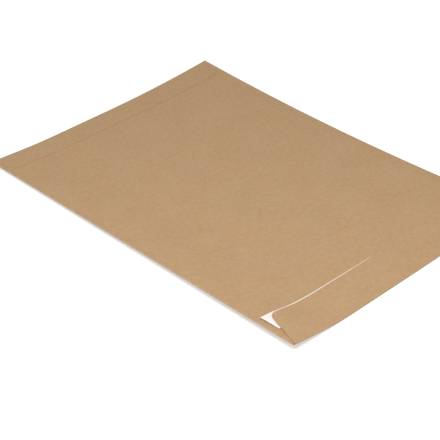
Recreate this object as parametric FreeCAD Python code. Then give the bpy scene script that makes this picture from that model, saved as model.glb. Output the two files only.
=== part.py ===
import FreeCAD, Part
import math
import os

# Mailing envelope: a C4 pocket of plain kraft board with a peel-and-seal flap.
#
# One blank makes the whole pocket. The face panel lies underneath. At the left edge the
# blank folds over to become the back panel, and at the right edge the back panel folds
# under itself to become a narrow side flap, glued to the inside of the face panel. The
# face panel carries both end flaps: the bottom flap is glued over the back panel, and the
# seal flap is folded over the mouth but not yet stuck down. Under the seal flap the back
# panel carries a strip of adhesive covered by a release liner.
#
# Frame: X across the width, Y along the length with the mouth at -Y, Z up; millimetres.
# The envelope lies on its face. The middle of the board is flat and rests on Z = 0, and
# the long sides curl up a little.

V = FreeCAD.Vector

# Pocket
ENVELOPE_WIDTH = 229.0
ENVELOPE_LENGTH = 324.0
BOARD = 0.45
MOUTH_INSET = 1.3          # back panel's mouth edge, in from the mouth end
BOTTOM_INSET = 1.3         # back panel's bottom edge, in from the bottom end
SIDE_FLAP_WIDTH = 15.0
FACE_EDGE_INSET = 0.5      # face panel's cut edge, in from the right-hand fold

# Curl of the long sides, each by its own amount
FLAT_HALF_WIDTH = 40.0
LEFT_SIDE_RISE = 6.0
RIGHT_SIDE_RISE = 2.4

# Bottom flap, glued over the back panel
BOTTOM_FLAP_DEPTH = 22.0
BOTTOM_FLAP_ROOT_INSET = 1.2
BOTTOM_FLAP_TIP_INSET = 5.0
BOTTOM_FLAP_CORNER = 6.0

# Seal flap, folded over the mouth
SEAL_FLAP_DEPTH = 32.6
SEAL_FLAP_ROOT_INSET = 0.6
SEAL_FLAP_TIP_INSET = 10.7
SEAL_FLAP_CORNER = 6.4

# Adhesive and release liner, laid slightly askew across the back panel
ADHESIVE_THICKNESS = 0.08
LINER_THICKNESS = 0.12
LINER_WIDTH = 16.2
LINER_LENGTH = 220.0
LINER_CENTRE_FROM_MOUTH = 25.3
ADHESIVE_MARGIN = 1.5      # liner left clear of adhesive all round
STRIP_SKEW_DEG = -0.6

# Heights of the layers, from the resting face up
FACE_TOP = BOARD
BACK_BOTTOM = 2 * BOARD
BACK_TOP = 3 * BOARD
BOTTOM_FLAP_TOP = 4 * BOARD
LINER_BOTTOM = BACK_TOP + ADHESIVE_THICKNESS
SEAL_FLAP_BOTTOM = LINER_BOTTOM + LINER_THICKNESS
SEAL_FLAP_TOP = SEAL_FLAP_BOTTOM + BOARD

# Outer radii of the folds, each half the height of the stack of layers it goes round
LEFT_FOLD_RADIUS = BACK_TOP / 2
RIGHT_FOLD_RADIUS = BOARD
BOTTOM_FOLD_RADIUS = BOTTOM_FLAP_TOP / 2
MOUTH_FOLD_RADIUS = SEAL_FLAP_TOP / 2

HALF_WIDTH = ENVELOPE_WIDTH / 2
HALF_LENGTH = ENVELOPE_LENGTH / 2
MOUTH_FOLD_Y = -HALF_LENGTH + MOUTH_FOLD_RADIUS
BOTTOM_FOLD_Y = HALF_LENGTH - BOTTOM_FOLD_RADIUS
LEFT_FOLD_X = -HALF_WIDTH + LEFT_FOLD_RADIUS
RIGHT_FOLD_X = HALF_WIDTH - RIGHT_FOLD_RADIUS
MOUTH_EDGE_Y = -HALF_LENGTH + MOUTH_INSET
BOTTOM_EDGE_Y = HALF_LENGTH - BOTTOM_INSET

TRIM_BOTTOM = -1.0
TRIM_HEIGHT = 20.0


# ---- Curl: a point x across the flat blank is carried round an arc beyond the flat middle

def curl_radius(side):
    """Radius at which the board of one side (+1 right, -1 left) curls to reach its rise."""
    rise = RIGHT_SIDE_RISE if side > 0 else LEFT_SIDE_RISE
    return (HALF_WIDTH - FLAT_HALF_WIDTH) ** 2 / (2 * rise)


def curl_angle(side, reach):
    """Angle in degrees turned by the board at a distance from the middle of the blank."""
    return math.degrees(max(reach - FLAT_HALF_WIDTH, 0.0) / curl_radius(side))


def curl_axis(side):
    """Point on the axis that the board of one side curls around."""
    return V(side * FLAT_HALF_WIDTH, 0, curl_radius(side))


def carry_to(shape, x):
    """Move a shape modelled at x = 0 of its own frame to x on the curled board."""
    side = math.copysign(1.0, x)
    placed = shape.copy()
    placed.translate(V(math.copysign(min(abs(x), FLAT_HALF_WIDTH), x), 0, 0))
    placed.rotate(curl_axis(side), V(0, -side, 0), curl_angle(side, abs(x)))
    return placed


def sweep_across(section, x_from, x_to):
    """Carry a face in the YZ plane across the blank from x_from to x_to."""
    pieces = []
    flat_from = max(x_from, -FLAT_HALF_WIDTH)
    flat_to = min(x_to, FLAT_HALF_WIDTH)
    if flat_to > flat_from:
        start = section.copy()
        start.translate(V(flat_from, 0, 0))
        pieces.append(start.extrude(V(flat_to - flat_from, 0, 0)))
    for side, near, far in ((1, x_from, x_to), (-1, -x_to, -x_from)):
        near = max(near, FLAT_HALF_WIDTH)
        if far > near:
            start = carry_to(section, side * near)
            turn = curl_angle(side, far) - curl_angle(side, near)
            pieces.append(start.revolve(curl_axis(side), V(0, -side, 0), turn))
    return fuse_all(pieces)


# ---- Small builders

def fuse_all(pieces):
    """Fuse shapes into one and merge the faces that continue each other."""
    whole = pieces[0]
    for piece in pieces[1:]:
        whole = whole.fuse(piece)
    return whole.removeSplitter()


def layer_section(y_from, y_to, z_from, z_to):
    """Rectangle in the YZ plane: one flat layer of board or strip."""
    corners = [V(0, y_from, z_from), V(0, y_to, z_from), V(0, y_to, z_to), V(0, y_from, z_to)]
    return Part.Face(Part.makePolygon(corners + corners[:1]))


def fold_arcs(centre, radius, outward):
    """Half circle from the bottom of a fold round to its top, as two quarter arcs."""
    points = []
    for angle in (-90, -45, 0, 45, 90):
        out = math.cos(math.radians(angle)) * radius
        up = math.sin(math.radians(angle)) * radius
        points.append(centre + outward * out + V(0, 0, up))
    return [Part.Arc(*points[0:3]).toShape(), Part.Arc(*points[2:5]).toShape()]


def fold_section(centre, radius, thickness, outward):
    """Half ring of board turning from the bottom of its circle to the top, facing outward."""
    inner = radius - thickness
    edges = fold_arcs(centre, radius, outward)
    outer_bottom = centre - V(0, 0, radius)
    outer_top = centre + V(0, 0, radius)
    if inner > 0:
        edges += fold_arcs(centre, inner, outward)
        edges.append(Part.makeLine(outer_bottom, centre - V(0, 0, inner)))
        edges.append(Part.makeLine(outer_top, centre + V(0, 0, inner)))
    else:
        edges.append(Part.makeLine(outer_bottom, outer_top))
    return Part.Face(Part.Wire(Part.__sortEdges__(edges)))


def plan_trim(corners, radii):
    """Upright prism on a plan outline, with each corner rounded by its own radius."""
    edges = []
    count = len(corners)
    starts = []
    ends = []
    for index, corner in enumerate(corners):
        before = (corners[index - 1] - corner).normalize()
        after = (corners[(index + 1) % count] - corner).normalize()
        radius = radii[index]
        half_angle = before.getAngle(after) / 2
        setback = radius / math.tan(half_angle)
        starts.append(corner + before * setback)
        ends.append(corner + after * setback)
        if radius > 0:
            bisector = (before + after).normalize()
            centre = corner + bisector * (radius / math.sin(half_angle))
            middle = centre - bisector * radius
            edges.append(Part.Arc(starts[-1], middle, ends[-1]).toShape())
    for index in range(count):
        edges.append(Part.makeLine(ends[index], starts[(index + 1) % count]))
    outline = Part.Wire(Part.__sortEdges__(edges))
    outline.translate(V(0, 0, TRIM_BOTTOM))
    return Part.Face(outline).extrude(V(0, 0, TRIM_HEIGHT))


def end_flap(fold_y, fold_radius, top, depth, root_inset, tip_inset, corner_radius, end):
    """Fold and flap at one end (+1 bottom, -1 mouth), tapered and trimmed to its outline."""
    fold_centre = V(0, fold_y, fold_radius)
    tip_y = end * (HALF_LENGTH - depth)
    fold = fold_section(fold_centre, fold_radius, BOARD, V(0, end, 0))
    flap = layer_section(min(tip_y, fold_y), max(tip_y, fold_y), top - BOARD, top)
    root_x = HALF_WIDTH - root_inset
    tip_x = HALF_WIDTH - tip_inset
    swept = fuse_all([sweep_across(fold, -root_x, root_x), sweep_across(flap, -root_x, root_x)])
    outline = [
        V(-root_x, end * HALF_LENGTH, 0),
        V(root_x, end * HALF_LENGTH, 0),
        V(tip_x, tip_y, 0),
        V(-tip_x, tip_y, 0),
    ]
    return swept.common(plan_trim(outline, [0.0, 0.0, corner_radius, corner_radius]))


# ---- Folded blank

def face_panel():
    """Panel underneath: full width, running out to both end folds."""
    section = layer_section(MOUTH_FOLD_Y, BOTTOM_FOLD_Y, 0, FACE_TOP)
    return sweep_across(section, LEFT_FOLD_X, HALF_WIDTH - FACE_EDGE_INSET)


def back_panel():
    """Panel on top: from the open mouth to the bottom fold, between the side folds."""
    section = layer_section(MOUTH_EDGE_Y, BOTTOM_EDGE_Y, BACK_BOTTOM, BACK_TOP)
    return sweep_across(section, LEFT_FOLD_X, RIGHT_FOLD_X)


def side_flap():
    """Narrow flap inside the right-hand side, glued down on the face panel."""
    section = layer_section(MOUTH_EDGE_Y, BOTTOM_EDGE_Y, FACE_TOP, BACK_BOTTOM)
    return sweep_across(section, RIGHT_FOLD_X - SIDE_FLAP_WIDTH, RIGHT_FOLD_X)


def side_fold(x, centre_height, radius, side):
    """Fold along one long side of the pocket, from the mouth edge to the bottom edge."""
    centre = V(0, MOUTH_EDGE_Y, centre_height)
    section = fold_section(centre, radius, BOARD, V(side, 0, 0))
    return carry_to(section.extrude(V(0, BOTTOM_EDGE_Y - MOUTH_EDGE_Y, 0)), x)


def folded_board():
    """The whole blank, folded and glued into a pocket."""
    return fuse_all([
        face_panel(),
        back_panel(),
        side_flap(),
        side_fold(LEFT_FOLD_X, LEFT_FOLD_RADIUS, LEFT_FOLD_RADIUS, -1),
        side_fold(RIGHT_FOLD_X, BACK_BOTTOM, RIGHT_FOLD_RADIUS, 1),
        end_flap(
            BOTTOM_FOLD_Y, BOTTOM_FOLD_RADIUS, BOTTOM_FLAP_TOP, BOTTOM_FLAP_DEPTH,
            BOTTOM_FLAP_ROOT_INSET, BOTTOM_FLAP_TIP_INSET, BOTTOM_FLAP_CORNER, 1,
        ),
        end_flap(
            MOUTH_FOLD_Y, MOUTH_FOLD_RADIUS, SEAL_FLAP_TOP, SEAL_FLAP_DEPTH,
            SEAL_FLAP_ROOT_INSET, SEAL_FLAP_TIP_INSET, SEAL_FLAP_CORNER, -1,
        ),
    ])


# ---- Adhesive and release liner

def askew_strip(length, width, z_from, z_to):
    """Thin rectangular strip following the back panel, turned by the skew angle."""
    centre_y = -HALF_LENGTH + LINER_CENTRE_FROM_MOUTH
    section = layer_section(centre_y - width, centre_y + width, z_from, z_to)
    strip = sweep_across(section, -length / 2 - width, length / 2 + width)
    corners = [
        V(-length / 2, centre_y - width / 2, 0),
        V(length / 2, centre_y - width / 2, 0),
        V(length / 2, centre_y + width / 2, 0),
        V(-length / 2, centre_y + width / 2, 0),
    ]
    trim = plan_trim(corners, [0.0] * len(corners))
    trim.rotate(V(0, centre_y, 0), V(0, 0, 1), STRIP_SKEW_DEG)
    return strip.common(trim)


def adhesive_strip():
    """Pressure-sensitive adhesive, kept in from the liner's edges."""
    return askew_strip(
        LINER_LENGTH - 2 * ADHESIVE_MARGIN, LINER_WIDTH - 2 * ADHESIVE_MARGIN, BACK_TOP, LINER_BOTTOM
    )


def release_liner():
    """Siliconed paper strip that keeps the adhesive covered until use."""
    return askew_strip(LINER_LENGTH, LINER_WIDTH, LINER_BOTTOM, SEAL_FLAP_BOTTOM)


def export(name, shape):
    """Write one named part as a STEP file."""
    solid = shape.Solids[0] if len(shape.Solids) == 1 else shape
    solid.exportStep("parts/" + name + ".step")
    box = solid.BoundBox
    size = "%.2f x %.2f x %.2f mm" % (box.XLength, box.YLength, box.ZLength)
    print(name, "solids", len(shape.Solids), "valid", shape.isValid(), size, "volume %.0f mm3" % shape.Volume)


os.makedirs("parts", exist_ok=True)
export("folded_board", folded_board())
export("adhesive_strip", adhesive_strip())
export("release_liner", release_liner())
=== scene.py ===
# %% [markdown]
# # A kraft board mailing envelope
# The real object is a pocket folded from one flat piece of kraft board: a face panel below,
# a back panel above, a glued flap at the bottom and a seal flap folded over the mouth. A
# strip of adhesive under a white release liner waits beneath the seal flap.
# This lesson folds the same blank from its flat outline, gives the board its thickness,
# curls the long sides, and then works on what kraft board looks like up close.
# The imported CAD model comes first, because the length is read from it and the box of each of
# its parts is printed.

import math

import bmesh
import bpy
from mathutils import Matrix, Vector


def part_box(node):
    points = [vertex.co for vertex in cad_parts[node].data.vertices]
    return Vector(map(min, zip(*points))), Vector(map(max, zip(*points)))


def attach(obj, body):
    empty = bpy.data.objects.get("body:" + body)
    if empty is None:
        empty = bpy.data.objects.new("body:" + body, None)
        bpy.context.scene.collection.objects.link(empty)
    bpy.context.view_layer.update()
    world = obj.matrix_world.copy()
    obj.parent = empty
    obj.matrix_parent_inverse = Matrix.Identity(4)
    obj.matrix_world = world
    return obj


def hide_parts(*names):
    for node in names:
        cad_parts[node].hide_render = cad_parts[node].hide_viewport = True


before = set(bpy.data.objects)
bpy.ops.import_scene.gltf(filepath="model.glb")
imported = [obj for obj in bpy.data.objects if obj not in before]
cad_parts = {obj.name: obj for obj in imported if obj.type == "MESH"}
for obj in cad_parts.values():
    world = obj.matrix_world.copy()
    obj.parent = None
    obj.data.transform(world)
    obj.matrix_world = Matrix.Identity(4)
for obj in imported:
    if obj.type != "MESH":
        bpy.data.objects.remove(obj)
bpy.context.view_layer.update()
for node in sorted(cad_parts):
    low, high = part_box(node)
    print(node, "box, mm:", [round(1000 * c, 2) for c in (*low, *high)])

# %% [markdown]
# ## The driving sizes
# A maker's drawing of a pocket gives the finished size, the board and the two flaps, and
# all the rest follows from how sheets stack. The length is read from the CAD model. The
# width is the width along the board, which the curled sides make a little narrower in
# plan, so it can't be read from the model's box and is written here.

# %% Sizes of the pocket
MM = 0.001                      # all sizes are in metres
WIDTH = 229.0 * MM
board_low, board_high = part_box("folded_board")
LENGTH = board_high.y - board_low.y
BOARD = 0.45 * MM
MOUTH_INSET = 1.05 * MM         # from each end of the envelope to the back panel's edge
BOTTOM_INSET = 1.0 * MM

HALF_WIDTH = WIDTH / 2
HALF_LENGTH = LENGTH / 2
MOUTH_EDGE_Y = -HALF_LENGTH + MOUTH_INSET
BOTTOM_EDGE_Y = HALF_LENGTH - BOTTOM_INSET
print("pocket %.1f by %.1f mm, board %.2f mm" % (WIDTH / MM, LENGTH / MM, BOARD / MM))

# %% [markdown]
# ## How the layers stack
# Four layers of board meet at the bottom flap: face panel, side flap, back panel and the
# flap itself. At the mouth the adhesive and the liner come between as well. A fold goes
# round exactly the layers that it holds, so its radius and its centre line are worked out
# from the stack and not chosen.

# %% Heights of the layers and lines of the folds
ADHESIVE_THICKNESS = 0.08 * MM
LINER_THICKNESS = 0.12 * MM

FACE_MID = 0.5 * BOARD          # middle of each layer, with the envelope lying flat
SIDE_FLAP_MID = 1.5 * BOARD
BACK_MID = 2.5 * BOARD
BACK_TOP = 3.0 * BOARD
BOTTOM_FLAP_MID = 3.5 * BOARD
SEAL_FLAP_MID = BOTTOM_FLAP_MID + ADHESIVE_THICKNESS + LINER_THICKNESS


def fold_radius(lower, upper):
    """Radius of a fold's middle surface: half the distance between the layers it joins."""
    return 0.5 * (upper - lower)


def fold_inset(lower, upper):
    """Distance from the outside of a fold to its centre line."""
    return fold_radius(lower, upper) + 0.5 * BOARD


BOTTOM_FOLD_Y = HALF_LENGTH - fold_inset(FACE_MID, BOTTOM_FLAP_MID)
MOUTH_FOLD_Y = -HALF_LENGTH + fold_inset(FACE_MID, SEAL_FLAP_MID)
LEFT_FOLD_X = -HALF_WIDTH + fold_inset(FACE_MID, BACK_MID)
RIGHT_FOLD_X = HALF_WIDTH - fold_inset(SIDE_FLAP_MID, BACK_MID)
print("folds at y %.2f and %.2f mm, x %.2f and %.2f mm" % (
    MOUTH_FOLD_Y / MM, BOTTOM_FOLD_Y / MM, LEFT_FOLD_X / MM, RIGHT_FOLD_X / MM))

# %% [markdown]
# ## Air in the pocket
# Board never lies perfectly flat. The pocket holds some air, so the back panel stands a
# little proud of the face panel and comes down to the folds round its edges. A simulation
# could find such a shape, but it is under half a millimetre high, so a smooth formula is
# quicker and always gives the same result.

# %% Height that the back panel gains
AIR = 0.40 * MM                 # height in the middle
AIR_EDGE = 0.6 * MM             # strip along a side fold that gains nothing
AIR_SIDE_RUN = 11.0 * MM        # distance over which it comes down to a side fold
AIR_BOTTOM_RUN = 45.0 * MM
AIR_MOUTH_RUN = 75.0 * MM
RIPPLE = 0.18                   # share by which the height varies over the panel
RIPPLE_ACROSS = 41.0            # radians in a metre
RIPPLE_ALONG = 29.0
RIPPLE_SHIFT = (1.3, 0.4)


def ease(value):
    """Smooth step from 0 to 1."""
    value = min(max(value, 0.0), 1.0)
    return value * value * (3.0 - 2.0 * value)


def back_lift(x, y):
    """Height that air in the pocket adds to the back panel at a point."""
    sides = ease((HALF_WIDTH - AIR_EDGE - abs(x)) / AIR_SIDE_RUN)
    bottom = ease((BOTTOM_FOLD_Y - y) / AIR_BOTTOM_RUN)
    mouth = ease((y - MOUTH_FOLD_Y) / AIR_MOUTH_RUN)
    wave = math.sin(RIPPLE_ACROSS * x + RIPPLE_SHIFT[0])
    wave *= math.cos(RIPPLE_ALONG * y + RIPPLE_SHIFT[1])
    return AIR * sides * bottom * mouth * (1.0 + RIPPLE * wave)


print("back panel stands %.2f mm proud in the middle" % (back_lift(0.0, 0.0) / MM))

# %% [markdown]
# ## Spring of the seal flap
# The seal flap is folded over but not stuck, so its free edge stands up slightly, most at
# the right, and its left corner has curled. Close to its fold it is pressed onto the back
# panel. Each of these is one smooth rise, added to the height of the panel below.

# %% Height that the seal flap gains
SEAL_FLAP_DEPTH = 32.6 * MM
SPRING_BASE = 0.15 * MM         # how far its free edge stands up everywhere
SPRING_STEPS = (                # and where it rises further: from x, over a run, by so much
    (-25.0 * MM, -35.0 * MM, 0.12 * MM),
    (-10.0 * MM, 20.0 * MM, 0.35 * MM),
    (70.0 * MM, 30.0 * MM, 0.20 * MM),
)
SPRING_SWEEP = 1.3              # powers of the distance from the fold: how late each rises
CORNER_SWEEP = 2
CORNER_CURL = 1.40 * MM         # extra height of the left corner
CORNER_START = -78.0 * MM
CORNER_RUN = 24.0 * MM
PRESS = 0.17 * MM               # how far the flap is pressed down near its fold
PRESS_START = 3.0 * MM
PRESS_END = 15.0 * MM


def seal_lift(x, y):
    """Height of the unstuck seal flap over its own flat level."""
    depth = y + HALF_LENGTH
    along = min(max(depth / SEAL_FLAP_DEPTH, 0.0), 1.0)
    spring = SPRING_BASE + sum(
        rise * ease((x - start) / run) for start, run, rise in SPRING_STEPS)
    corner = CORNER_CURL * ease((CORNER_START - x) / CORNER_RUN)
    press = PRESS * ease(depth / PRESS_START) * ease(2.0 - 2.0 * depth / PRESS_END)
    under = back_lift(x, max(y, MOUTH_EDGE_Y))
    return under + spring * along ** SPRING_SWEEP + corner * along ** CORNER_SWEEP - press


seal_edge_y = SEAL_FLAP_DEPTH - HALF_LENGTH
print("free edge of the seal flap rises, mm:", [
    round(seal_lift(x, seal_edge_y) / MM, 2) for x in (-0.095, -0.05, 0.0, 0.05, 0.095)])

# %% [markdown]
# ## Folding the blank
# On the real envelope everything here is a single die-cut sheet. We build the middle
# surface of that sheet as grids: one for each panel, and one for each fold, which is half
# of a circle seen end on. Neighbouring grids share their border points, so merging the
# doubles afterwards joins them into one sheet. The UV map keeps each point's place on the
# flat blank, in metres, and that lets the fibres of the board run on round a fold.

# %% Rows and columns
COLUMN = 3.0 * MM               # the widest spacing across and along a panel
ROW = 4.0 * MM


def steps(start, stop, spacing):
    """Evenly spaced values from start to stop, no further apart than spacing."""
    count = max(1, math.ceil(abs(stop - start) / spacing - 1e-9))
    return [start + (stop - start) * i / count for i in range(count + 1)]


def joined(*runs):
    """Runs of values end to end, with shared ends kept once."""
    values = []
    for run in runs:
        values += run if not values else run[1:]
    return values


def panel_rows():
    """Rows of the face panel; both edges of the back panel are among them."""
    stops = (MOUTH_FOLD_Y, MOUTH_EDGE_Y, BOTTOM_EDGE_Y, BOTTOM_FOLD_Y)
    return joined(*(steps(a, b, ROW) for a, b in zip(stops, stops[1:])))


print("face panel has %d rows of points" % len(panel_rows()))

# %% A sheet made of grids
def new_sheet():
    """An empty sheet. Each point will keep how worn it is."""
    sheet = bmesh.new()
    sheet.verts.layers.float.new("ridge_wear")
    return sheet


def add_grid(sheet, across, along, place, wear=lambda u, v: 0.0):
    """Add a grid of quads. place(u, v) gives the point and its place on the flat blank."""
    uv_layer = sheet.loops.layers.uv.verify()
    wear_layer = sheet.verts.layers.float["ridge_wear"]
    rows = []
    for v in along:
        row = []
        for u in across:
            point, blank = place(u, v)
            vertex = sheet.verts.new(point)
            vertex[wear_layer] = wear(u, v)
            row.append((vertex, blank))
        rows.append(row)
    for low, high in zip(rows, rows[1:]):
        for i in range(len(across) - 1):
            corners = (low[i], low[i + 1], high[i + 1], high[i])
            face = sheet.faces.new([vertex for vertex, _ in corners])
            for loop, (_, blank) in zip(face.loops, corners):
                loop[uv_layer].uv = blank


pocket_sheet = new_sheet()
print("a point of the sheet keeps:", pocket_sheet.verts.layers.float.keys())

# %% [markdown]
# ## Outlines of the end flaps
# Both end flaps taper from their fold and have rounded corners, so they never stick out
# past the sides when a fold is a little off square. Each row of a flap's grid is squeezed
# to the flap's half width at that distance from the fold. The corner is a true arc. The
# glued bottom flap is folded slightly askew, as a machine at full speed leaves it.

# %% Half width of a tapered, round-cornered flap
CORNER_STEP = math.radians(9.0)


class EndFlap:
    """Sizes of one end flap, in metres, and its half width at each depth."""

    def __init__(self, depth, root_inset, tip_inset, corner, askew=0.0):
        self.depth = depth
        self.askew = askew      # share by which it is deeper at the right end than midway
        self.root = HALF_WIDTH - root_inset
        self.tip = HALF_WIDTH - tip_inset
        self.corner = corner
        slope = math.atan2(self.root - self.tip, depth)
        setback = corner / math.tan(0.5 * (0.5 * math.pi + slope))
        self.centre_x = self.tip - setback
        self.centre_depth = depth - corner
        self.corner_start = depth - setback * math.cos(slope)

    def half_width(self, d):
        if d <= self.corner_start:
            return self.root + (self.tip - self.root) * d / self.depth
        rise = min(1.0, max(0.0, (d - self.centre_depth) / self.corner))
        return self.centre_x + self.corner * math.sqrt(1.0 - rise * rise)

    def depths(self, spacing):
        """Rows from the fold to the free edge, closer together round the corners."""
        straight = steps(0.0, self.corner_start, spacing)
        rise = (self.corner_start - self.centre_depth) / self.corner
        first = math.asin(min(1.0, max(0.0, rise)))
        arc = [self.centre_depth + self.corner * math.sin(angle)
               for angle in steps(first, 0.5 * math.pi, CORNER_STEP)]
        return straight + arc[1:]


bottom_flap = EndFlap(depth=22.2 * MM, root_inset=0.68 * MM, tip_inset=5.0 * MM,
                      corner=8.5 * MM, askew=0.06)
seal_flap = EndFlap(depth=SEAL_FLAP_DEPTH, root_inset=0.68 * MM, tip_inset=10.7 * MM,
                    corner=6.4 * MM)
for name, flap in (("bottom", bottom_flap), ("seal", seal_flap)):
    print("%s flap: %.1f mm wide at its fold, %.1f mm at its free edge" % (
        name, 2 * flap.root / MM, 2 * flap.half_width(flap.depth) / MM))

# %% [markdown]
# ## Face panel
# The largest panel lies on the table and carries the address on the real envelope. It is
# one flat grid. The ends of both flaps' folds are among its columns, so that the folds,
# which are a little narrower than the panel, meet it point to point.

# %% Face panel
FACE_EDGE_INSET = 0.5 * MM


def face_columns():
    """Columns of the face panel; the roots of both end flaps are among them."""
    roots = (seal_flap.root, bottom_flap.root)
    stops = sorted({LEFT_FOLD_X, *(-root for root in roots), *roots,
                    HALF_WIDTH - FACE_EDGE_INSET})
    return joined(*(steps(a, b, COLUMN) for a, b in zip(stops, stops[1:])))


def place_face(x, y):
    return Vector((x, y, FACE_MID)), (x, y)


add_grid(pocket_sheet, face_columns(), panel_rows(), place_face)
print("face panel: %d faces" % len(pocket_sheet.faces))

# %% [markdown]
# ## End folds and flaps
# The bottom flap and the seal flap are made alike: half a turn round the edge of the face
# panel, then a flap that lies on the back panel. A fold of real board is a little rubbed on
# its outside, so the fold's points also record wear, for the material to use.

# %% Folds and flaps at the two ends
FOLD_STEPS = 12
FOLD_TURNS = [-1.0 + 2.0 * i / FOLD_STEPS for i in range(FOLD_STEPS + 1)]
FLAP_ROW = 2.5 * MM
SHORTEST_ROW = 0.2 * MM


def fold_wear(turn):
    """Wear on a fold, where turn goes from -1 to 1: most at the outside of the bend."""
    return math.cos(0.5 * math.pi * turn) ** 2


def add_end_flap(sheet, flap, end, fold_y, top_mid, lift):
    """Fold and flap at one end: end is 1 for the bottom and -1 for the mouth."""
    columns = [x for x in face_columns() if abs(x) <= flap.root + 1e-9]
    radius = fold_radius(FACE_MID, top_mid)
    arc = math.pi * radius
    fold_depth = HALF_LENGTH - abs(fold_y)

    def place_fold(x, turn):
        angle = 0.5 * math.pi * turn
        turned = 0.5 * (1.0 + turn)
        x *= flap.half_width(fold_depth * turned) / flap.root
        y = fold_y + end * radius * math.cos(angle)
        z = FACE_MID + radius + radius * math.sin(angle)
        z += 0.5 * (1.0 + math.sin(angle)) * lift(x, y)
        return Vector((x, y, z)), (x, fold_y + end * arc * turned)

    def place_flap(x, depth):
        x *= flap.half_width(depth) / flap.root
        depth += (depth - fold_depth) * flap.askew * x / HALF_WIDTH
        y = end * (HALF_LENGTH - depth)
        return Vector((x, y, top_mid + lift(x, y))), (x, fold_y + end * (arc + depth))

    depths = [d for d in flap.depths(FLAP_ROW) if d > fold_depth + SHORTEST_ROW]
    add_grid(sheet, columns, FOLD_TURNS, place_fold, lambda x, turn: fold_wear(turn))
    add_grid(sheet, columns, [fold_depth] + depths, place_flap)


add_end_flap(pocket_sheet, bottom_flap, 1, BOTTOM_FOLD_Y, BOTTOM_FLAP_MID, back_lift)
add_end_flap(pocket_sheet, seal_flap, -1, MOUTH_FOLD_Y, SEAL_FLAP_MID, seal_lift)
print("with both end flaps: %d faces" % len(pocket_sheet.faces))

# %% [markdown]
# ## Left fold and back panel
# The back panel is joined to the face panel by the fold along the left side, which holds
# the inner side flap as well, so its radius is one thickness of board. The panel carries
# the air. Its columns are closer together near the sides, where it comes down to the folds.

# %% Left fold and back panel
NEAR_FOLD = 12.0 * MM
FINE_COLUMN = 1.5 * MM
back_rows = steps(MOUTH_EDGE_Y, BOTTOM_EDGE_Y, ROW)
left_radius = fold_radius(FACE_MID, BACK_MID)
left_arc = math.pi * left_radius
back_start = LEFT_FOLD_X - left_arc                 # where the back panel starts on the blank


def place_left_fold(turn, y):
    angle = 0.5 * math.pi * turn
    x = LEFT_FOLD_X - left_radius * math.cos(angle)
    z = FACE_MID + left_radius + left_radius * math.sin(angle)
    return Vector((x, y, z)), (LEFT_FOLD_X - left_arc * 0.5 * (1.0 + turn), y)


def place_back(x, y):
    point = Vector((x, y, BACK_MID + back_lift(x, y)))
    return point, (back_start - (x - LEFT_FOLD_X), y)


def side_wear(turn, y):
    return fold_wear(turn)


back_columns = joined(
    steps(LEFT_FOLD_X, LEFT_FOLD_X + NEAR_FOLD, FINE_COLUMN),
    steps(LEFT_FOLD_X + NEAR_FOLD, RIGHT_FOLD_X - NEAR_FOLD, COLUMN),
    steps(RIGHT_FOLD_X - NEAR_FOLD, RIGHT_FOLD_X, FINE_COLUMN))
add_grid(pocket_sheet, FOLD_TURNS, back_rows, place_left_fold, side_wear)
add_grid(pocket_sheet, back_columns, back_rows, place_back)
print("with the back panel: %d faces" % len(pocket_sheet.faces))

# %% [markdown]
# ## Right fold and inner side flap
# Along the right side the back panel turns under, and a narrow flap is glued to the face
# panel inside the pocket. That closes the pocket. Only the outside of the fold shows.

# %% Right fold and inner side flap
SIDE_FLAP_WIDTH = 15.0 * MM
right_radius = fold_radius(SIDE_FLAP_MID, BACK_MID)
right_arc = math.pi * right_radius
back_end = back_start - (RIGHT_FOLD_X - LEFT_FOLD_X)    # where it ends on the blank


def place_right_fold(turn, y):
    angle = -0.5 * math.pi * turn
    x = RIGHT_FOLD_X + right_radius * math.cos(angle)
    z = SIDE_FLAP_MID + right_radius + right_radius * math.sin(angle)
    return Vector((x, y, z)), (back_end - right_arc * 0.5 * (1.0 + turn), y)


def place_side_flap(x, y):
    return Vector((x, y, SIDE_FLAP_MID)), (back_end - right_arc - (RIGHT_FOLD_X - x), y)


side_columns = steps(RIGHT_FOLD_X, RIGHT_FOLD_X - SIDE_FLAP_WIDTH, COLUMN)
add_grid(pocket_sheet, FOLD_TURNS, back_rows, place_right_fold, side_wear)
add_grid(pocket_sheet, side_columns, back_rows, place_side_flap)
print("with the inner side flap: %d faces" % len(pocket_sheet.faces))

# %% [markdown]
# ## One sheet
# The grids now lie edge to edge. Merging the points that coincide joins them, and turning
# the faces one way afterwards lets the thickness grow evenly to both sides.

# %% Join the grids
MERGE_DISTANCE = 1e-6


def finished_mesh(sheet, name):
    """Write a sheet to a new mesh whose UV map is the flat blank."""
    mesh = bpy.data.meshes.new(name)
    sheet.to_mesh(mesh)
    sheet.free()
    mesh.uv_layers[0].name = "blank"
    return mesh


bmesh.ops.remove_doubles(pocket_sheet, verts=pocket_sheet.verts[:], dist=MERGE_DISTANCE)
bmesh.ops.recalc_face_normals(pocket_sheet, faces=pocket_sheet.faces[:])
pocket_flat = finished_mesh(pocket_sheet, "pocket_sheet")
print("sheet: %d points, %d faces" % (len(pocket_flat.vertices), len(pocket_flat.polygons)))

# %% [markdown]
# ## Kraft board as a material
# Unbleached kraft is made of long brown wood fibres. From arm's length it is an even warm
# tan. Closer, there are soft clouds where the pulp settled unevenly, small clots, a weave
# of fine fibres, and single fibres and flecks that stand out. Each of those is a noise or
# cell pattern on the flat blank's own coordinates, so it runs on round every fold, which an
# image wrapped on the model would not do as easily. Contrast is low, as on clean new board.

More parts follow.
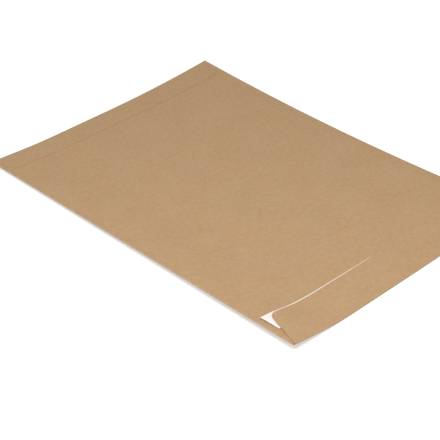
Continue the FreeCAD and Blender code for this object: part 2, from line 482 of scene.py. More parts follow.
# %% An empty kraft material
def new_material(name):
    """A material with an empty node tree, its shader and its output."""
    material = bpy.data.materials.new(name)
    material.use_nodes = True
    tree = material.node_tree
    tree.nodes.clear()
    output = tree.nodes.new("ShaderNodeOutputMaterial")
    shader = tree.nodes.new("ShaderNodeBsdfPrincipled")
    tree.links.new(shader.outputs["BSDF"], output.inputs["Surface"])
    return material, tree, shader


kraft_face, kraft_tree, kraft_shader = new_material("kraft_board_face")
print("%s starts with: %s" % (kraft_face.name, ", ".join(kraft_tree.nodes.keys())))

# %% Adding a node in one line
def connect(tree, value, socket):
    """Link an output to a socket, or set the socket to a plain number or colour."""
    if isinstance(value, bpy.types.NodeSocket):
        tree.links.new(value, socket)
    else:
        socket.default_value = value


def add_node(tree, kind, settings=(), **inputs):
    """Add a node. Its inputs are values or links, by name: _ is a space, a last _ is dropped."""
    node = tree.nodes.new(kind)
    for name, value in dict(settings).items():
        setattr(node, name, value)
    for name, value in inputs.items():
        connect(tree, value, node.inputs[name.strip("_").replace("_", " ")])
    return node


def blank_coordinates(tree):
    """Place on the flat blank, in metres."""
    return add_node(tree, "ShaderNodeUVMap", {"uv_map": "blank"}).outputs["UV"]


on_blank = blank_coordinates(kraft_tree)
print("patterns will read the", on_blank.name, "of the map", on_blank.node.uv_map)

# %% Clouds and clots of pulp
CLOUD_SCALE = 36.0              # patterns repeat about this many times in a metre
CLOT_SCALE = 290.0


def noise(tree, vector, scale, detail, roughness):
    node = add_node(tree, "ShaderNodeTexNoise", Vector=vector, Scale=scale,
                    Detail=detail, Roughness=roughness)
    return node.outputs["Fac"]


clouds = noise(kraft_tree, on_blank, CLOUD_SCALE, detail=3.0, roughness=0.6)
clots = noise(kraft_tree, on_blank, CLOT_SCALE, detail=3.0, roughness=0.55)
print("clouds about %.0f mm across, clots about %.1f mm" % (
    1000 / CLOUD_SCALE, 1000 / CLOT_SCALE))

# %% Noise that runs one way
WEAVE = (                       # turn in degrees, waves in a metre across and along a fibre
    (8.0, 2600.0, 420.0),
    (-17.0, 2100.0, 380.0),
    (52.0, 1500.0, 420.0),
)
WEAVE_SHIFT = 3.1               # keeps the layers from lining up


def stretched(tree, vector, turn_deg, across, along, shift):
    """Coordinates turned about Z and stretched. A shift moves to another part of a noise."""
    node = add_node(tree, "ShaderNodeMapping", Vector=vector,
                    Location=(shift, 0.7 * shift, 0.0),
                    Rotation=(0.0, 0.0, math.radians(turn_deg)),
                    Scale=(across, along, 1.0))
    return node.outputs["Vector"]


def streaks(tree, vector, turn_deg, across, along, detail, roughness, shift=0.0):
    """Noise that runs one way, because its coordinates are stretched."""
    place = stretched(tree, vector, turn_deg, across, along, shift)
    return noise(tree, place, 1.0, detail, roughness)


fibre_layers = [
    streaks(kraft_tree, on_blank, *layer, detail=3.0, roughness=0.55, shift=WEAVE_SHIFT * i)
    for i, layer in enumerate(WEAVE)]
print("fibres about %s mm wide" % ", ".join("%.2f" % (1000 / layer[1]) for layer in WEAVE))

# %% Weave of fine fibres
def math_node(tree, operation, *values, clamp=False):
    node = add_node(tree, "ShaderNodeMath", {"operation": operation, "use_clamp": clamp})
    for value, socket in zip(values, node.inputs):
        connect(tree, value, socket)
    return node.outputs[0]


def weighted_sum(tree, parts):
    """Sum of patterns, each times its share."""
    total = None
    for value, share in parts:
        part = math_node(tree, "MULTIPLY", value, share)
        total = part if total is None else math_node(tree, "ADD", total, part)
    return total


weave = weighted_sum(kraft_tree, [(layer, 1.0 / len(WEAVE)) for layer in fibre_layers])
print("weave of %d layers: %d nodes" % (len(WEAVE), len(kraft_tree.nodes)))

# %% [markdown]
# ## Tone and hue of the board
# Two things vary on their own: how dark the pulp is, and whether it leans to green or to
# red, as recycled fibre does. Tone comes from all three patterns above. Hue comes from
# slower noise, and a little blue is taken out in places, which warms them.

# %% Mixing by a pattern
KRAFT_DARK = (0.381, 0.225, 0.109, 1.0)
KRAFT_PALE = (0.594, 0.405, 0.234, 1.0)
TONE_SPAN = (0.34, 0.86)        # tones at which the board is darkest and palest


def mix_colour(tree, factor, a, b, blend="MIX"):
    settings = {"data_type": "RGBA", "blend_type": blend}
    return add_node(tree, "ShaderNodeMix", settings, Factor=factor, A=a, B=b).outputs["Result"]


def remap(tree, value, low, high, to_low=0.0, to_high=1.0):
    """Smooth rise from to_low to to_high while value goes from low to high."""
    node = add_node(tree, "ShaderNodeMapRange", {"interpolation_type": "SMOOTHSTEP"},
                    Value=value, From_Min=low, From_Max=high, To_Min=to_low, To_Max=to_high)
    return node.outputs["Result"]


tone = weighted_sum(kraft_tree, ((clouds, 0.24), (clots, 0.46), (weave, 0.50)))
by_tone = mix_colour(kraft_tree, remap(kraft_tree, tone, *TONE_SPAN), KRAFT_DARK, KRAFT_PALE)
print("board with its tone: %d nodes" % len(kraft_tree.nodes))

# %% Hue of the board
KRAFT_GREENER = (0.487, 0.319, 0.176, 1.0)
KRAFT_REDDER = (0.510, 0.308, 0.164, 1.0)
KRAFT_WARMER = (1.0, 1.0, 0.945, 1.0)       # multiplies the colour
HUE_SCALE = 26.0
WARMTH_SCALE = 30.0
WARMTH_TURN = 70.0              # in degrees, and a shift, so that warmth doesn't follow hue
WARMTH_SHIFT = 4.0
HUE_SHARE = 0.62                # how much of the colour is hue, and not tone
MOST = (0.35, 0.65)             # most values of a noise lie between these,
NEARLY_ALL = (0.30, 0.70)       # and nearly all between these

hue = noise(kraft_tree, on_blank, HUE_SCALE, detail=4.0, roughness=0.65)
hue = remap(kraft_tree, hue, *NEARLY_ALL)
by_hue = mix_colour(kraft_tree, hue, KRAFT_GREENER, KRAFT_REDDER)
warmth = streaks(kraft_tree, on_blank, WARMTH_TURN, WARMTH_SCALE, WARMTH_SCALE,
                 detail=4.0, roughness=0.65, shift=WARMTH_SHIFT)
warmth = remap(kraft_tree, warmth, *NEARLY_ALL)
by_hue = mix_colour(kraft_tree, warmth, by_hue, KRAFT_WARMER, "MULTIPLY")
board_colour = mix_colour(kraft_tree, HUE_SHARE, by_tone, by_hue)
print("board with its hue: %d nodes" % len(kraft_tree.nodes))

# %% [markdown]
# ## Single fibres and flecks
# Here and there one long fibre shows by itself, a little paler or darker than the rest.
# A thin line appears wherever a stretched noise crosses its middle value, which gives long
# curved lines at no cost, and a second noise cuts them into lengths. Flecks of bark and
# straw are short, so they are cells of a stretched cell pattern, with only a few chosen.

# %% Coordinates that wander
WANDER_SCALE = 55.0
WANDER_REACH = 5.0 * MM


def wandering(tree, vector, scale, reach):
    """Coordinates pushed about by up to reach, so that long patterns bend and cross."""
    wave = add_node(tree, "ShaderNodeTexNoise", Vector=vector, Scale=scale, Detail=1.0)
    push = add_node(tree, "ShaderNodeVectorMath", {"operation": "MULTIPLY_ADD"})
    for value, socket in zip((wave.outputs["Color"], (reach, reach, 0.0), vector), push.inputs):
        connect(tree, value, socket)
    return push.outputs["Vector"]


bent = wandering(kraft_tree, on_blank, WANDER_SCALE, WANDER_REACH)
print("fibres wander by up to %.0f mm" % (WANDER_REACH / MM))

# %% Single fibres
FIBRE_PALE = (0.640, 0.458, 0.278, 1.0)
FIBRE_DARK = (0.330, 0.190, 0.090, 1.0)
FIBRES = (                      # turn, waves in a metre across and along, seed, strength, colour
    (9.0, 1700.0, 260.0, 31.0, 0.20, FIBRE_PALE),
    (-28.0, 1500.0, 240.0, 47.0, 0.20, FIBRE_DARK),
    (61.0, 1300.0, 230.0, 59.0, 0.17, FIBRE_PALE),
)
FIBRE_GAPS = (900.0, 300.0)     # waves in a metre of the noise that cuts lines into lengths
LINE_FADE = (0.045, 0.010)      # how far from the middle value a line starts and is full
GAP_FADE = (0.50, 0.62)         # values of that noise where a length starts and is full


def fibre_lines(tree, vector, turn_deg, across, along, seed):
    """Thin lines where a stretched noise crosses its middle, in short lengths."""
    field = streaks(tree, vector, turn_deg, across, along, 1.0, 0.5, seed)
    off_line = math_node(tree, "ABSOLUTE", math_node(tree, "SUBTRACT", field, 0.5))
    line = remap(tree, off_line, *LINE_FADE)
    gaps = streaks(tree, vector, turn_deg, *FIBRE_GAPS, 2.0, 0.6, seed + 7.0)
    return math_node(tree, "MULTIPLY", line, remap(tree, gaps, *GAP_FADE))


def lay_over(tree, colour, mask, strength, top):
    """A colour with another laid over it where a mask shows, at a given strength."""
    return mix_colour(tree, math_node(tree, "MULTIPLY", mask, strength), colour, top)


for turn, across, along, seed, strength, top in FIBRES:
    lines = fibre_lines(kraft_tree, bent, turn, across, along, seed)
    board_colour = lay_over(kraft_tree, board_colour, lines, strength, top)
print("%d kinds of fibre laid over the board" % len(FIBRES))

# %% Flecks
FLECK_BROWN = (0.200, 0.112, 0.052, 1.0)
FLECK_STRAW = (0.700, 0.540, 0.350, 1.0)
FLECKS = (                      # as for fibres, with the share of cells before the seed
    (24.0, 1100.0, 260.0, 0.10, 5.0, 0.20, FLECK_BROWN),
    (-38.0, 620.0, 200.0, 0.045, 11.0, 0.26, FLECK_BROWN),
    (11.0, 900.0, 170.0, 0.09, 23.0, 0.24, FLECK_STRAW),
)
FLECK_FADE = (0.34, 0.12)       # how far from its cell's centre a fleck starts and is full


def fleck_mask(tree, vector, turn_deg, across, along, share, seed):
    """Short fibres that stand out: one per chosen cell of a stretched cell pattern."""
    place = stretched(tree, vector, turn_deg, across, along, seed)
    cells = add_node(tree, "ShaderNodeTexVoronoi", Vector=place, Scale=1.0)
    pick = add_node(tree, "ShaderNodeSeparateColor", Color=cells.outputs["Color"])
    chosen = remap(tree, pick.outputs["Red"], 1.0 - share, 1.0 - share + 0.02)
    shape = remap(tree, cells.outputs["Distance"], *FLECK_FADE)
    return math_node(tree, "MULTIPLY", chosen, shape)


for turn, across, along, share, seed, strength, top in FLECKS:
    flecks = fleck_mask(kraft_tree, bent, turn, across, along, share, seed)
    board_colour = lay_over(kraft_tree, board_colour, flecks, strength, top)
print("flecks in %s of every 100 cells" % ", ".join("%g" % (100 * f[3]) for f in FLECKS))

# %% [markdown]
# ## Wear, gloss and relief
# Folding bruises the surface of board, so the outside of a fold is paler and slightly
# smoother, in patches. The points of the folds already record where. The board itself is
# matt, and the weave and the clots stand up by a few hundredths of a millimetre, which a
# bump shows and a mesh could not.

# %% Wear, gloss and relief
WEAR_STRENGTH = 0.5
WEAR_PATCHES = (0.25, 0.75)     # least and most of the wear that shows
WEAR_POLISH = -0.12             # change in roughness where the board is rubbed
BOARD_ROUGHNESS = (0.78, 0.90)
BOARD_RELIEF = 0.06 * MM


def add_bump(tree, shader, height, strength, depth):
    """Shallow relief of a given depth, in the shader's normal."""
    bump = add_node(tree, "ShaderNodeBump", Height=height, Strength=strength, Distance=depth)
    tree.links.new(bump.outputs["Normal"], shader.inputs["Normal"])


wear = add_node(kraft_tree, "ShaderNodeAttribute", {"attribute_name": "ridge_wear"})
patches = remap(kraft_tree, clots, *MOST, *WEAR_PATCHES)
rubbed = math_node(kraft_tree, "MULTIPLY", wear.outputs["Fac"], patches)
board_colour = lay_over(kraft_tree, board_colour, rubbed, WEAR_STRENGTH, KRAFT_PALE)
kraft_tree.links.new(board_colour, kraft_shader.inputs["Base Color"])

matt = remap(kraft_tree, weave, *MOST, *BOARD_ROUGHNESS)
polish = math_node(kraft_tree, "MULTIPLY", rubbed, WEAR_POLISH)
rough = math_node(kraft_tree, "ADD", matt, polish)
kraft_tree.links.new(rough, kraft_shader.inputs["Roughness"])
kraft_shader.inputs["Specular IOR Level"].default_value = 0.28
relief = weighted_sum(kraft_tree, ((weave, 0.7), (clots, 0.5)))
add_bump(kraft_tree, kraft_shader, relief, strength=0.35, depth=BOARD_RELIEF)
print("%s: %d nodes" % (kraft_face.name, len(kraft_tree.nodes)))

# %% [markdown]
# ## Cut edge of the board
# A die crushes the board as it cuts, so the edge is rough and a little paler than the face,
# with its plies faintly showing. It gets its own material, which reads Object coordinates,
# because the flat blank's coordinates do not change through the thickness.

# %% Cut edge
EDGE_DARK = (0.45, 0.296, 0.162, 1.0)
EDGE_PALE = (0.64, 0.454, 0.279, 1.0)
PLY_SCALE = 300.0
GRIT_SCALE = 5200.0
GRIT_RELIEF = 0.05 * MM


def object_coordinates(tree):
    return tree.nodes.new("ShaderNodeTexCoord").outputs["Object"]


def board_cut_edge():
    material, tree, shader = new_material("kraft_board_cut_edge")
    place = object_coordinates(tree)
    plies = streaks(tree, place, 0.0, PLY_SCALE, PLY_SCALE, detail=4.0, roughness=0.7)
    grit = noise(tree, place, GRIT_SCALE, detail=2.0, roughness=0.6)
    mixed = weighted_sum(tree, ((plies, 0.5), (grit, 0.5)))
    colour = mix_colour(tree, remap(tree, mixed, *MOST), EDGE_DARK, EDGE_PALE)
    tree.links.new(colour, shader.inputs["Base Color"])
    shader.inputs["Roughness"].default_value = 0.92
    shader.inputs["Specular IOR Level"].default_value = 0.2
    add_bump(tree, shader, grit, strength=0.5, depth=GRIT_RELIEF)
    return material


kraft_cut = board_cut_edge()
print("%s: %d nodes" % (kraft_cut.name, len(kraft_cut.node_tree.nodes)))

# %% [markdown]
# ## One settling movement for every layer
# Board takes up moisture unevenly, so an envelope lifts a few millimetres off a table. The
# left side of this one curls along its whole length, more at the mouth than at the
# bottom: board cannot stretch, so it bends there round part of a large, slightly tapered
# cylinder, and its stiff folded edge runs on straight. On the right the two corners lift.
# A small Geometry Nodes tree moves every point in this way, and the same tree serves the
# board and the strips, so that all the layers stay together exactly. Its sizes are named
# inputs, and it ends by setting the materials.

# %% Geometry Nodes: the tree's inputs
TREE_SIZES = {
    "Half width": HALF_WIDTH,
    "Half length": HALF_LENGTH,
    "Bend start": 55.0 * MM,    # the left side bends between these distances from the middle
    "Bend end": 85.0 * MM,
    "Left rise at mouth": 6.0 * MM,
    "Left rise at bottom": 2.5 * MM,
    "Right corner rise": 5.2 * MM,
}


def new_settling_tree():
    """An empty tree with the sockets that every piece of the envelope needs."""
    tree = bpy.data.node_groups.new("settle_board", "GeometryNodeTree")
    tree.interface.new_socket("Geometry", in_out="INPUT", socket_type="NodeSocketGeometry")
    for name in TREE_SIZES:
        tree.interface.new_socket(name, in_out="INPUT", socket_type="NodeSocketFloat")
    for name in ("Surface", "Cut edge"):
        tree.interface.new_socket(name, in_out="INPUT", socket_type="NodeSocketMaterial")
    tree.interface.new_socket("Geometry", in_out="OUTPUT", socket_type="NodeSocketGeometry")
    return tree


settle_board = new_settling_tree()
print("settling tree's sizes, mm:", {name: round(s / MM, 2) for name, s in TREE_SIZES.items()})

# %% Geometry Nodes: the point to move
given = settle_board.nodes.new("NodeGroupInput").outputs
position = settle_board.nodes.new("GeometryNodeInputPosition").outputs[0]
point = add_node(settle_board, "ShaderNodeSeparateXYZ", Vector=position).outputs


def calc(operation, *values):
    """One step of arithmetic in the settling tree."""
    return math_node(settle_board, operation, *values)


def place_at(x, y, z):
    return add_node(settle_board, "ShaderNodeCombineXYZ", X=x, Y=y, Z=z).outputs[0]


print("the tree reads each point's", ", ".join(socket.name for socket in point))

# %% Geometry Nodes: curl of the left side
def bend_radius(y):
    """Radius of the left side's bend at a place along the envelope."""
    length = calc("MULTIPLY", given["Half length"], 2.0)
    along = calc("DIVIDE", calc("ADD", y, given["Half length"]), length)
    change = calc("SUBTRACT", given["Left rise at bottom"], given["Left rise at mouth"])
    rise = calc("MULTIPLY_ADD", change, along, given["Left rise at mouth"])
    bend = calc("SUBTRACT", given["Bend end"], given["Bend start"])
    straight = calc("SUBTRACT", given["Half width"], given["Bend end"])
    run = calc("MULTIPLY_ADD", bend, 0.5, straight)
    return calc("DIVIDE", calc("MULTIPLY", bend, run), rise)


def curled_left(x, y, z):
    """Where a point goes that lies left of the middle: round the bend, then straight on."""
    radius = bend_radius(y)
    reach = calc("MULTIPLY", x, -1.0)
    flat = calc("MINIMUM", reach, given["Bend start"])
    bent = calc("SUBTRACT", calc("MINIMUM", reach, given["Bend end"]), flat)
    past = calc("SUBTRACT", calc("SUBTRACT", reach, flat), bent)
    angle = calc("DIVIDE", bent, radius)
    sine, cosine = calc("SINE", angle), calc("COSINE", angle)
    arm = calc("SUBTRACT", radius, z)
    out = calc("MULTIPLY_ADD", arm, sine, flat)
    out = calc("MULTIPLY_ADD", past, cosine, out)
    up = calc("SUBTRACT", radius, calc("MULTIPLY", arm, cosine))
    up = calc("MULTIPLY_ADD", past, sine, up)
    return place_at(calc("MULTIPLY", out, -1.0), y, up)


left_place = curled_left(*point)
print("tree with the left curl: %d nodes" % len(settle_board.nodes))

# %% Geometry Nodes: lift of the right-hand corners
def lifted_right(x, y, z):
    """Where a point goes that lies right of the middle: up, most at the two corners."""
    across = calc("DIVIDE", x, given["Half width"])
    along = calc("DIVIDE", y, given["Half length"])
    share = calc("MULTIPLY", across, along)
    both = calc("MULTIPLY", share, share)
    up = calc("MULTIPLY_ADD", both, given["Right corner rise"], z)
    return place_at(x, y, up)


right_place = lifted_right(*point)
print("tree with the right-hand corners: %d nodes" % len(settle_board.nodes))

# %% [markdown]
# ## The rest of the tree
# A switch picks the left or the right movement for each point, and Set Position applies
# it. Realize Instances makes sure that plain geometry comes out, and the two Set Material
# nodes give the faces and the cut edges what they need.

# %% Geometry Nodes: move the points and set the materials
side = add_node(settle_board, "GeometryNodeSwitch", {"input_type": "VECTOR"},
                Switch=calc("LESS_THAN", point["X"], 0.0), False_=right_place, True_=left_place)
move = add_node(settle_board, "GeometryNodeSetPosition",
                Geometry=given["Geometry"], Position=side.outputs[0])
plain = add_node(settle_board, "GeometryNodeRealizeInstances", Geometry=move.outputs[0])

slot_number = settle_board.nodes.new("GeometryNodeInputMaterialIndex").outputs[0]
is_edge = calc("GREATER_THAN", slot_number, 0.5)
result = plain.outputs[0]
for chosen, name in ((calc("SUBTRACT", 1.0, is_edge), "Surface"), (is_edge, "Cut edge")):
    result = add_node(settle_board, "GeometryNodeSetMaterial", Geometry=result,
                      Selection=chosen, Material=given[name]).outputs[0]
add_node(settle_board, "NodeGroupOutput", Geometry=result)
print("settling tree: %d nodes, %d links" % (len(settle_board.nodes), len(settle_board.links)))

# %% [markdown]
# ## Thickness and soft edges
# The sheet is only a middle surface so far. Solidify gives it the thickness of the board
# with a closed rim, and a very small bevel takes the knife sharpness off the cut edges, so
# that they catch light as real ones do. Then comes the settling tree, last, because the
# bend should carry the whole thickness with it. The result becomes a plain mesh.

# %% Helpers for a finished piece
SLIVER = 0.002 * MM


def set_input(modifier, name, value):
    """Set a tree's input by its socket's identifier."""
    for item in modifier.node_group.interface.items_tree:
        if item.item_type == "SOCKET" and item.in_out == "INPUT" and item.name == name:
            modifier[item.identifier] = value


def drop_slivers(mesh):
    """Collapse the thinnest faces, which a bevel leaves where edges meet."""
    work = bmesh.new()
    work.from_mesh(mesh)
    bmesh.ops.dissolve_degenerate(work, dist=SLIVER, edges=work.edges[:])
    work.to_mesh(mesh)
    work.free()


print("faces thinner than %.0f microns will collapse" % (1000 * SLIVER / MM))

# %% Thickness, soft edges and settling
BEVEL_ABOVE = math.radians(60.0)


def add_modifiers(piece, surface, cut, thickness, offset, edge_round):
    """Put on the three modifiers that make a flat sheet a piece of the envelope."""
    solid = piece.modifiers.new("thickness", "SOLIDIFY")
    solid.thickness = thickness
    solid.offset = offset
    solid.use_even_offset = True
    solid.material_offset_rim = 1
    bevel = piece.modifiers.new("edge_round", "BEVEL")
    bevel.width = edge_round
    bevel.segments = 2
    bevel.limit_method = "ANGLE"
    bevel.angle_limit = BEVEL_ABOVE
    settle = piece.modifiers.new("settle", "NODES")
    settle.node_group = settle_board
    for socket, value in (*TREE_SIZES.items(), ("Surface", surface), ("Cut edge", cut)):
        set_input(settle, socket, value)


print("edges sharper than %.0f degrees are rounded" % math.degrees(BEVEL_ABOVE))

# %% Finish the pocket
SMOOTH_BELOW = math.radians(35.0)


def finish_piece(name, flat, surface, cut, thickness, offset, edge_round):
    """Turn a flat-lying sheet into a finished piece. offset is 0 to grow both ways, 1 up."""
    flat.materials.append(surface)
    flat.materials.append(cut)
    piece = bpy.data.objects.new(name, flat)
    bpy.context.scene.collection.objects.link(piece)
    add_modifiers(piece, surface, cut, thickness, offset, edge_round)
    depsgraph = bpy.context.evaluated_depsgraph_get()
    evaluated = piece.evaluated_get(depsgraph)
    finished = bpy.data.meshes.new_from_object(evaluated, depsgraph=depsgraph)
    piece.modifiers.clear()
    drop_slivers(finished)
    finished.name = name
    finished.shade_smooth()
    finished.set_sharp_from_angle(angle=SMOOTH_BELOW)
    piece.data = finished
    bpy.data.meshes.remove(flat)
    return piece


pocket = finish_piece("kraft_pocket", pocket_flat, kraft_face, kraft_cut,
                      thickness=BOARD, offset=0.0, edge_round=0.07 * MM)
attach(pocket, "root")
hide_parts("folded_board")
print("%s: %d faces, materials %s" % (
    pocket.name, len(pocket.data.polygons), [m.name for m in pocket.data.materials]))

# %% [markdown]
# ## Release liner and adhesive
# The liner is a ribbon of white siliconed paper, laid down by a machine that is rarely
# quite square to the pocket, so it sits slightly askew. It is only a tenth of a millimetre
# thick, and its free left end stands up a little, ready to be pulled. Both strips are grids
# laid over the back panel at its own height, so they follow the air in the pocket.

# %% Strips laid on the back panel
LINER_LENGTH = 220.2 * MM
LINER_WIDTH = 16.3 * MM
ADHESIVE_MARGIN = 1.5 * MM      # the liner reaches past the adhesive by this much
STRIP_SKEW = math.radians(-0.6)
STRIP_CENTRE_Y = -136.8 * MM
STRIP_COLUMN = 3.0 * MM
STRIP_ROW = 2.5 * MM
LINER_END_LIFT = 1.15 * MM
LINER_END_FLAT = 10.0 * MM
LINER_END_RUN = 17.0 * MM
LINER_END_CUT = 0.10            # its left end is cut a little off square
LINER_NEAR_CORNER = 0.3         # share of the lift at the end's corner nearest the mouth


def strip_mesh(name, length, width, bottom, end_lift=0.0, end_cut=0.0):
    """A thin rectangle on the back panel, its lower side at the height given."""
    def place(u, v):
        u -= end_cut * v * ease(-2.0 * u / length)
        x = u * math.cos(STRIP_SKEW) - v * math.sin(STRIP_SKEW)
        y = STRIP_CENTRE_Y + u * math.sin(STRIP_SKEW) + v * math.cos(STRIP_SKEW)
        end = ease((LINER_END_FLAT + LINER_END_RUN - 0.5 * length - u) / LINER_END_RUN)
        corner = LINER_NEAR_CORNER + (1.0 - LINER_NEAR_CORNER) * ease(0.5 + v / width)
        return Vector((x, y, bottom + back_lift(x, y) + end_lift * end * corner)), (u, v)

    sheet = new_sheet()
    add_grid(sheet, steps(-length / 2, length / 2, STRIP_COLUMN),
             steps(-width / 2, width / 2, STRIP_ROW), place)
    return finished_mesh(sheet, name)


adhesive_flat = strip_mesh("adhesive_flat", LINER_LENGTH - 2 * ADHESIVE_MARGIN,
                           LINER_WIDTH - 2 * ADHESIVE_MARGIN, BACK_TOP)
liner_flat = strip_mesh("liner_flat", LINER_LENGTH, LINER_WIDTH,
                        BACK_TOP + ADHESIVE_THICKNESS, LINER_END_LIFT, LINER_END_CUT)
print("strips: %d and %d faces" % (len(adhesive_flat.polygons), len(liner_flat.polygons)))

# %% [markdown]
# ## Liner paper
# Siliconed paper is white, smooth and faintly cloudy, with a soft sheen from its coating.
# It needs the same kinds of pattern as the board, with much less contrast.

# %% Liner paper
LINER_SHADE = (0.885, 0.820, 0.750, 1.0)
LINER_WHITE = (0.935, 0.872, 0.812, 1.0)
LINER_CLOUDS = 260.0
LINER_FIBRES = (5.0, 700.0, 2600.0)     # turn in degrees, waves in a metre along and across it
LINER_ROUGHNESS = (0.40, 0.50)
LINER_RELIEF = 0.03 * MM


def liner_surface():
    material, tree, shader = new_material("release_liner_paper")
    place = blank_coordinates(tree)
    clouds = noise(tree, place, LINER_CLOUDS, detail=3.0, roughness=0.55)
    fibres = streaks(tree, place, *LINER_FIBRES, detail=3.0, roughness=0.6)
    mixed = weighted_sum(tree, ((clouds, 0.6), (fibres, 0.4)))
    colour = mix_colour(tree, remap(tree, mixed, *MOST), LINER_SHADE, LINER_WHITE)
    tree.links.new(colour, shader.inputs["Base Color"])
    rough = remap(tree, clouds, *NEARLY_ALL, *LINER_ROUGHNESS)
    tree.links.new(rough, shader.inputs["Roughness"])
    shader.inputs["Specular IOR Level"].default_value = 0.45
    add_bump(tree, shader, fibres, strength=0.2, depth=LINER_RELIEF)
    return material


liner_paper = liner_surface()
print("%s: %d nodes" % (liner_paper.name, len(liner_paper.node_tree.nodes)))

# %% [markdown]
# ## Adhesive
# The adhesive is a clear tacky film. Over kraft it looks straw coloured and wet, with
# streaks along the strip from the roller that laid it. Only its edges can ever be seen.

# %% Adhesive
TACK_SHADE = (0.72, 0.64, 0.48, 1.0)
TACK_LIGHT = (0.80, 0.74, 0.60, 1.0)
ROLLER_MARKS = (0.0, 150.0, 1200.0)     # turn in degrees, waves in a metre along and across
TACK_ROUGHNESS = (0.16, 0.30)


def adhesive_surface():
    material, tree, shader = new_material("pressure_adhesive")
    rolled = streaks(tree, object_coordinates(tree), *ROLLER_MARKS, detail=2.0, roughness=0.5)
    colour = mix_colour(tree, remap(tree, rolled, *MOST), TACK_SHADE, TACK_LIGHT)
    tree.links.new(colour, shader.inputs["Base Color"])
    rough = remap(tree, rolled, *NEARLY_ALL, *TACK_ROUGHNESS)
    tree.links.new(rough, shader.inputs["Roughness"])
    return material


tack = adhesive_surface()
print("%s: %d nodes" % (tack.name, len(tack.node_tree.nodes)))

# %% [markdown]
# ## Lay the strips in place
# Both strips grow upwards from the height they lie at, and go through the same soft edges
# and the same settling tree as the board, so they stay on it exactly.

# %% Finish both strips
adhesive = finish_piece("adhesive_layer", adhesive_flat, tack, tack,
                        thickness=ADHESIVE_THICKNESS, offset=1.0, edge_round=0.01 * MM)
liner = finish_piece("liner_strip", liner_flat, liner_paper, liner_paper,
                     thickness=LINER_THICKNESS, offset=1.0, edge_round=0.02 * MM)
for piece, node, slot in (
        (adhesive, "adhesive_strip", "adhesive"), (liner, "release_liner", "liner_paper")):
    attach(piece, "root")
    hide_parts(node)
    print("%s: %d faces" % (piece.name, len(piece.data.polygons)))

# %% [markdown]
# ## Floor
# The envelope lies on a plain white sweep. White paint is not white enough by itself under
# soft light, so the floor has a little glow that only rays from the camera, or off a gloss
# or through glass, can see, and nothing extra falls on the envelope. The glow is weaker
# near the envelope, so its shadow stays. Far away the floor is as white as the world
# behind it, and no horizon shows.

# %% Paint and glow of the floor
WORLD_LIGHT = 0.38
BACKDROP_TONE = 1.0             # white
FLOOR_WHITE = 0.80
GLOW_NEAR = 0.45
GLOW_FAR = BACKDROP_TONE - FLOOR_WHITE * WORLD_LIGHT
GLOW_RAMP = (0.28, 1.00)        # distances from the middle of the envelope


def seen_directly(tree):
    """1 for the rays that show a background: to the camera, off a gloss, through glass."""
    path = tree.nodes.new("ShaderNodeLightPath").outputs
    seen = math_node(tree, "ADD", path["Is Camera Ray"], path["Is Glossy Ray"])
    return math_node(tree, "ADD", seen, path["Is Transmission Ray"], clamp=True)


def floor_material():
    material, tree, shader = new_material("white_sweep")
    shader.inputs["Base Color"].default_value = (FLOOR_WHITE, FLOOR_WHITE, FLOOR_WHITE, 1.0)
    shader.inputs["Roughness"].default_value = 0.9
    shader.inputs["Specular IOR Level"].default_value = 0.1
    distance = add_node(tree, "ShaderNodeVectorMath", {"operation": "LENGTH"},
                        Vector=object_coordinates(tree)).outputs["Value"]
    strength = remap(tree, distance, *GLOW_RAMP, GLOW_NEAR, GLOW_FAR)
    strength = math_node(tree, "MULTIPLY", seen_directly(tree), strength)
    glow = add_node(tree, "ShaderNodeEmission", Strength=strength)
    both = tree.nodes.new("ShaderNodeAddShader")
    tree.links.new(shader.outputs["BSDF"], both.inputs[0])
    tree.links.new(glow.outputs["Emission"], both.inputs[1])
    tree.links.new(both.outputs["Shader"], tree.nodes["Material Output"].inputs["Surface"])
    return material


sweep = floor_material()
print("floor glows %.2f near the envelope and %.2f far away" % (GLOW_NEAR, GLOW_FAR))

# %% Floor
FLOOR_HALF = 3.0
floor_mesh = bpy.data.meshes.new("floor")
floor_corners = [(FLOOR_HALF * x, FLOOR_HALF * y, 0.0)
                 for x, y in ((-1, -1), (1, -1), (1, 1), (-1, 1))]
floor_mesh.from_pydata(floor_corners, [], [(0, 1, 2, 3)])
floor_mesh.materials.append(sweep)
floor = bpy.data.objects.new("floor", floor_mesh)
bpy.context.scene.collection.objects.link(floor)
print("floor %.0f m square" % (2 * FLOOR_HALF))

# %% [markdown]
# ## Lamp
# One large soft lamp stands to the left, above the mouth. It gives the gentle shading
# across the panel and the soft shadow under the raised sides. Its size sets how soft the
# shadow is, and its height how evenly the light falls off from left to right.

# %% Lamp
LAMP_PLACE = (-0.36, -0.335, 0.80)
LAMP_SIZE = 0.5
LAMP_POWER = 6.4


def aim_at(thing, target, roll=0.0):
    """Point the -Z axis of a lamp or a camera at the target, and roll it about that axis."""
    direction = Vector(target) - thing.location
    turn = direction.to_track_quat("-Z", "Y").to_matrix() @ Matrix.Rotation(roll, 3, "Z")
    thing.rotation_euler = turn.to_euler()


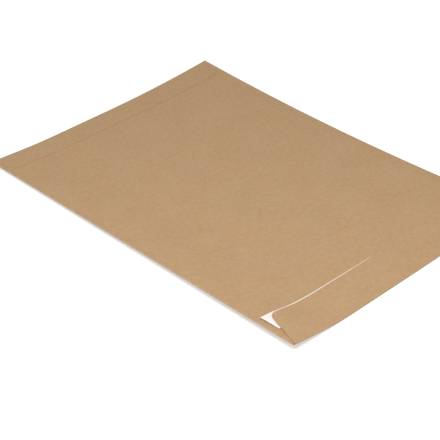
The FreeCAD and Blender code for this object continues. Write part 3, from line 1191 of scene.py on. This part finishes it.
lamp_data = bpy.data.lights.new("soft_key", "AREA")
lamp_data.shape = "SQUARE"
lamp_data.size = LAMP_SIZE
lamp_data.energy = LAMP_POWER
lamp = bpy.data.objects.new("soft_key", lamp_data)
lamp.location = LAMP_PLACE
bpy.context.scene.collection.objects.link(lamp)
aim_at(lamp, (0.0, 0.0, 0.0))
print("lamp %.2f m from the envelope, %.1f W" % (lamp.location.length, LAMP_POWER))

# %% [markdown]
# ## World
# An even grey-white world fills in what the lamp leaves dark, as the walls of a studio do.
# Where the camera sees it directly, it is plain white instead.

# %% World
world = bpy.data.worlds.new("studio")
world.use_nodes = True
bpy.context.scene.world = world
world_tree = world.node_tree
background = world_tree.nodes["Background"]
background.inputs["Color"].default_value = (1.0, 1.0, 1.0, 1.0)
extra = math_node(world_tree, "MULTIPLY", seen_directly(world_tree),
                  BACKDROP_TONE - WORLD_LIGHT)
world_strength = math_node(world_tree, "ADD", extra, WORLD_LIGHT)
world_tree.links.new(world_strength, background.inputs["Strength"])
bpy.context.scene.view_settings.view_transform = "Standard"
print("world lights at %.2f and shows at %.2f" % (WORLD_LIGHT, BACKDROP_TONE))

# %% [markdown]
# ## Camera
# The camera looks down from the front left, with a long lens from about a metre away, so
# the sides of the envelope stay nearly parallel. Azimuth is counted from the mouth end.

# %% Camera
CAMERA_AZIMUTH = math.radians(-43.38)
CAMERA_ELEVATION = math.radians(34.23)
CAMERA_ROLL = math.radians(-1.06)
CAMERA_DISTANCE = 1.0258
CAMERA_LENS = 114.32            # focal length in mm, on a sensor 36 mm wide
CAMERA_AIM = Vector((-0.04187, -0.01862, 0.0))

towards_camera = Vector((
    math.sin(CAMERA_AZIMUTH) * math.cos(CAMERA_ELEVATION),
    -math.cos(CAMERA_AZIMUTH) * math.cos(CAMERA_ELEVATION),
    math.sin(CAMERA_ELEVATION),
))
camera_data = bpy.data.cameras.new("camera")
camera_data.sensor_width = 36.0
camera_data.lens = CAMERA_LENS
camera = bpy.data.objects.new("camera", camera_data)
camera.location = CAMERA_AIM + CAMERA_DISTANCE * towards_camera
aim_at(camera, CAMERA_AIM, CAMERA_ROLL)
bpy.context.scene.collection.objects.link(camera)
bpy.context.scene.camera = camera
print("camera at", tuple(round(c, 3) for c in camera.location))
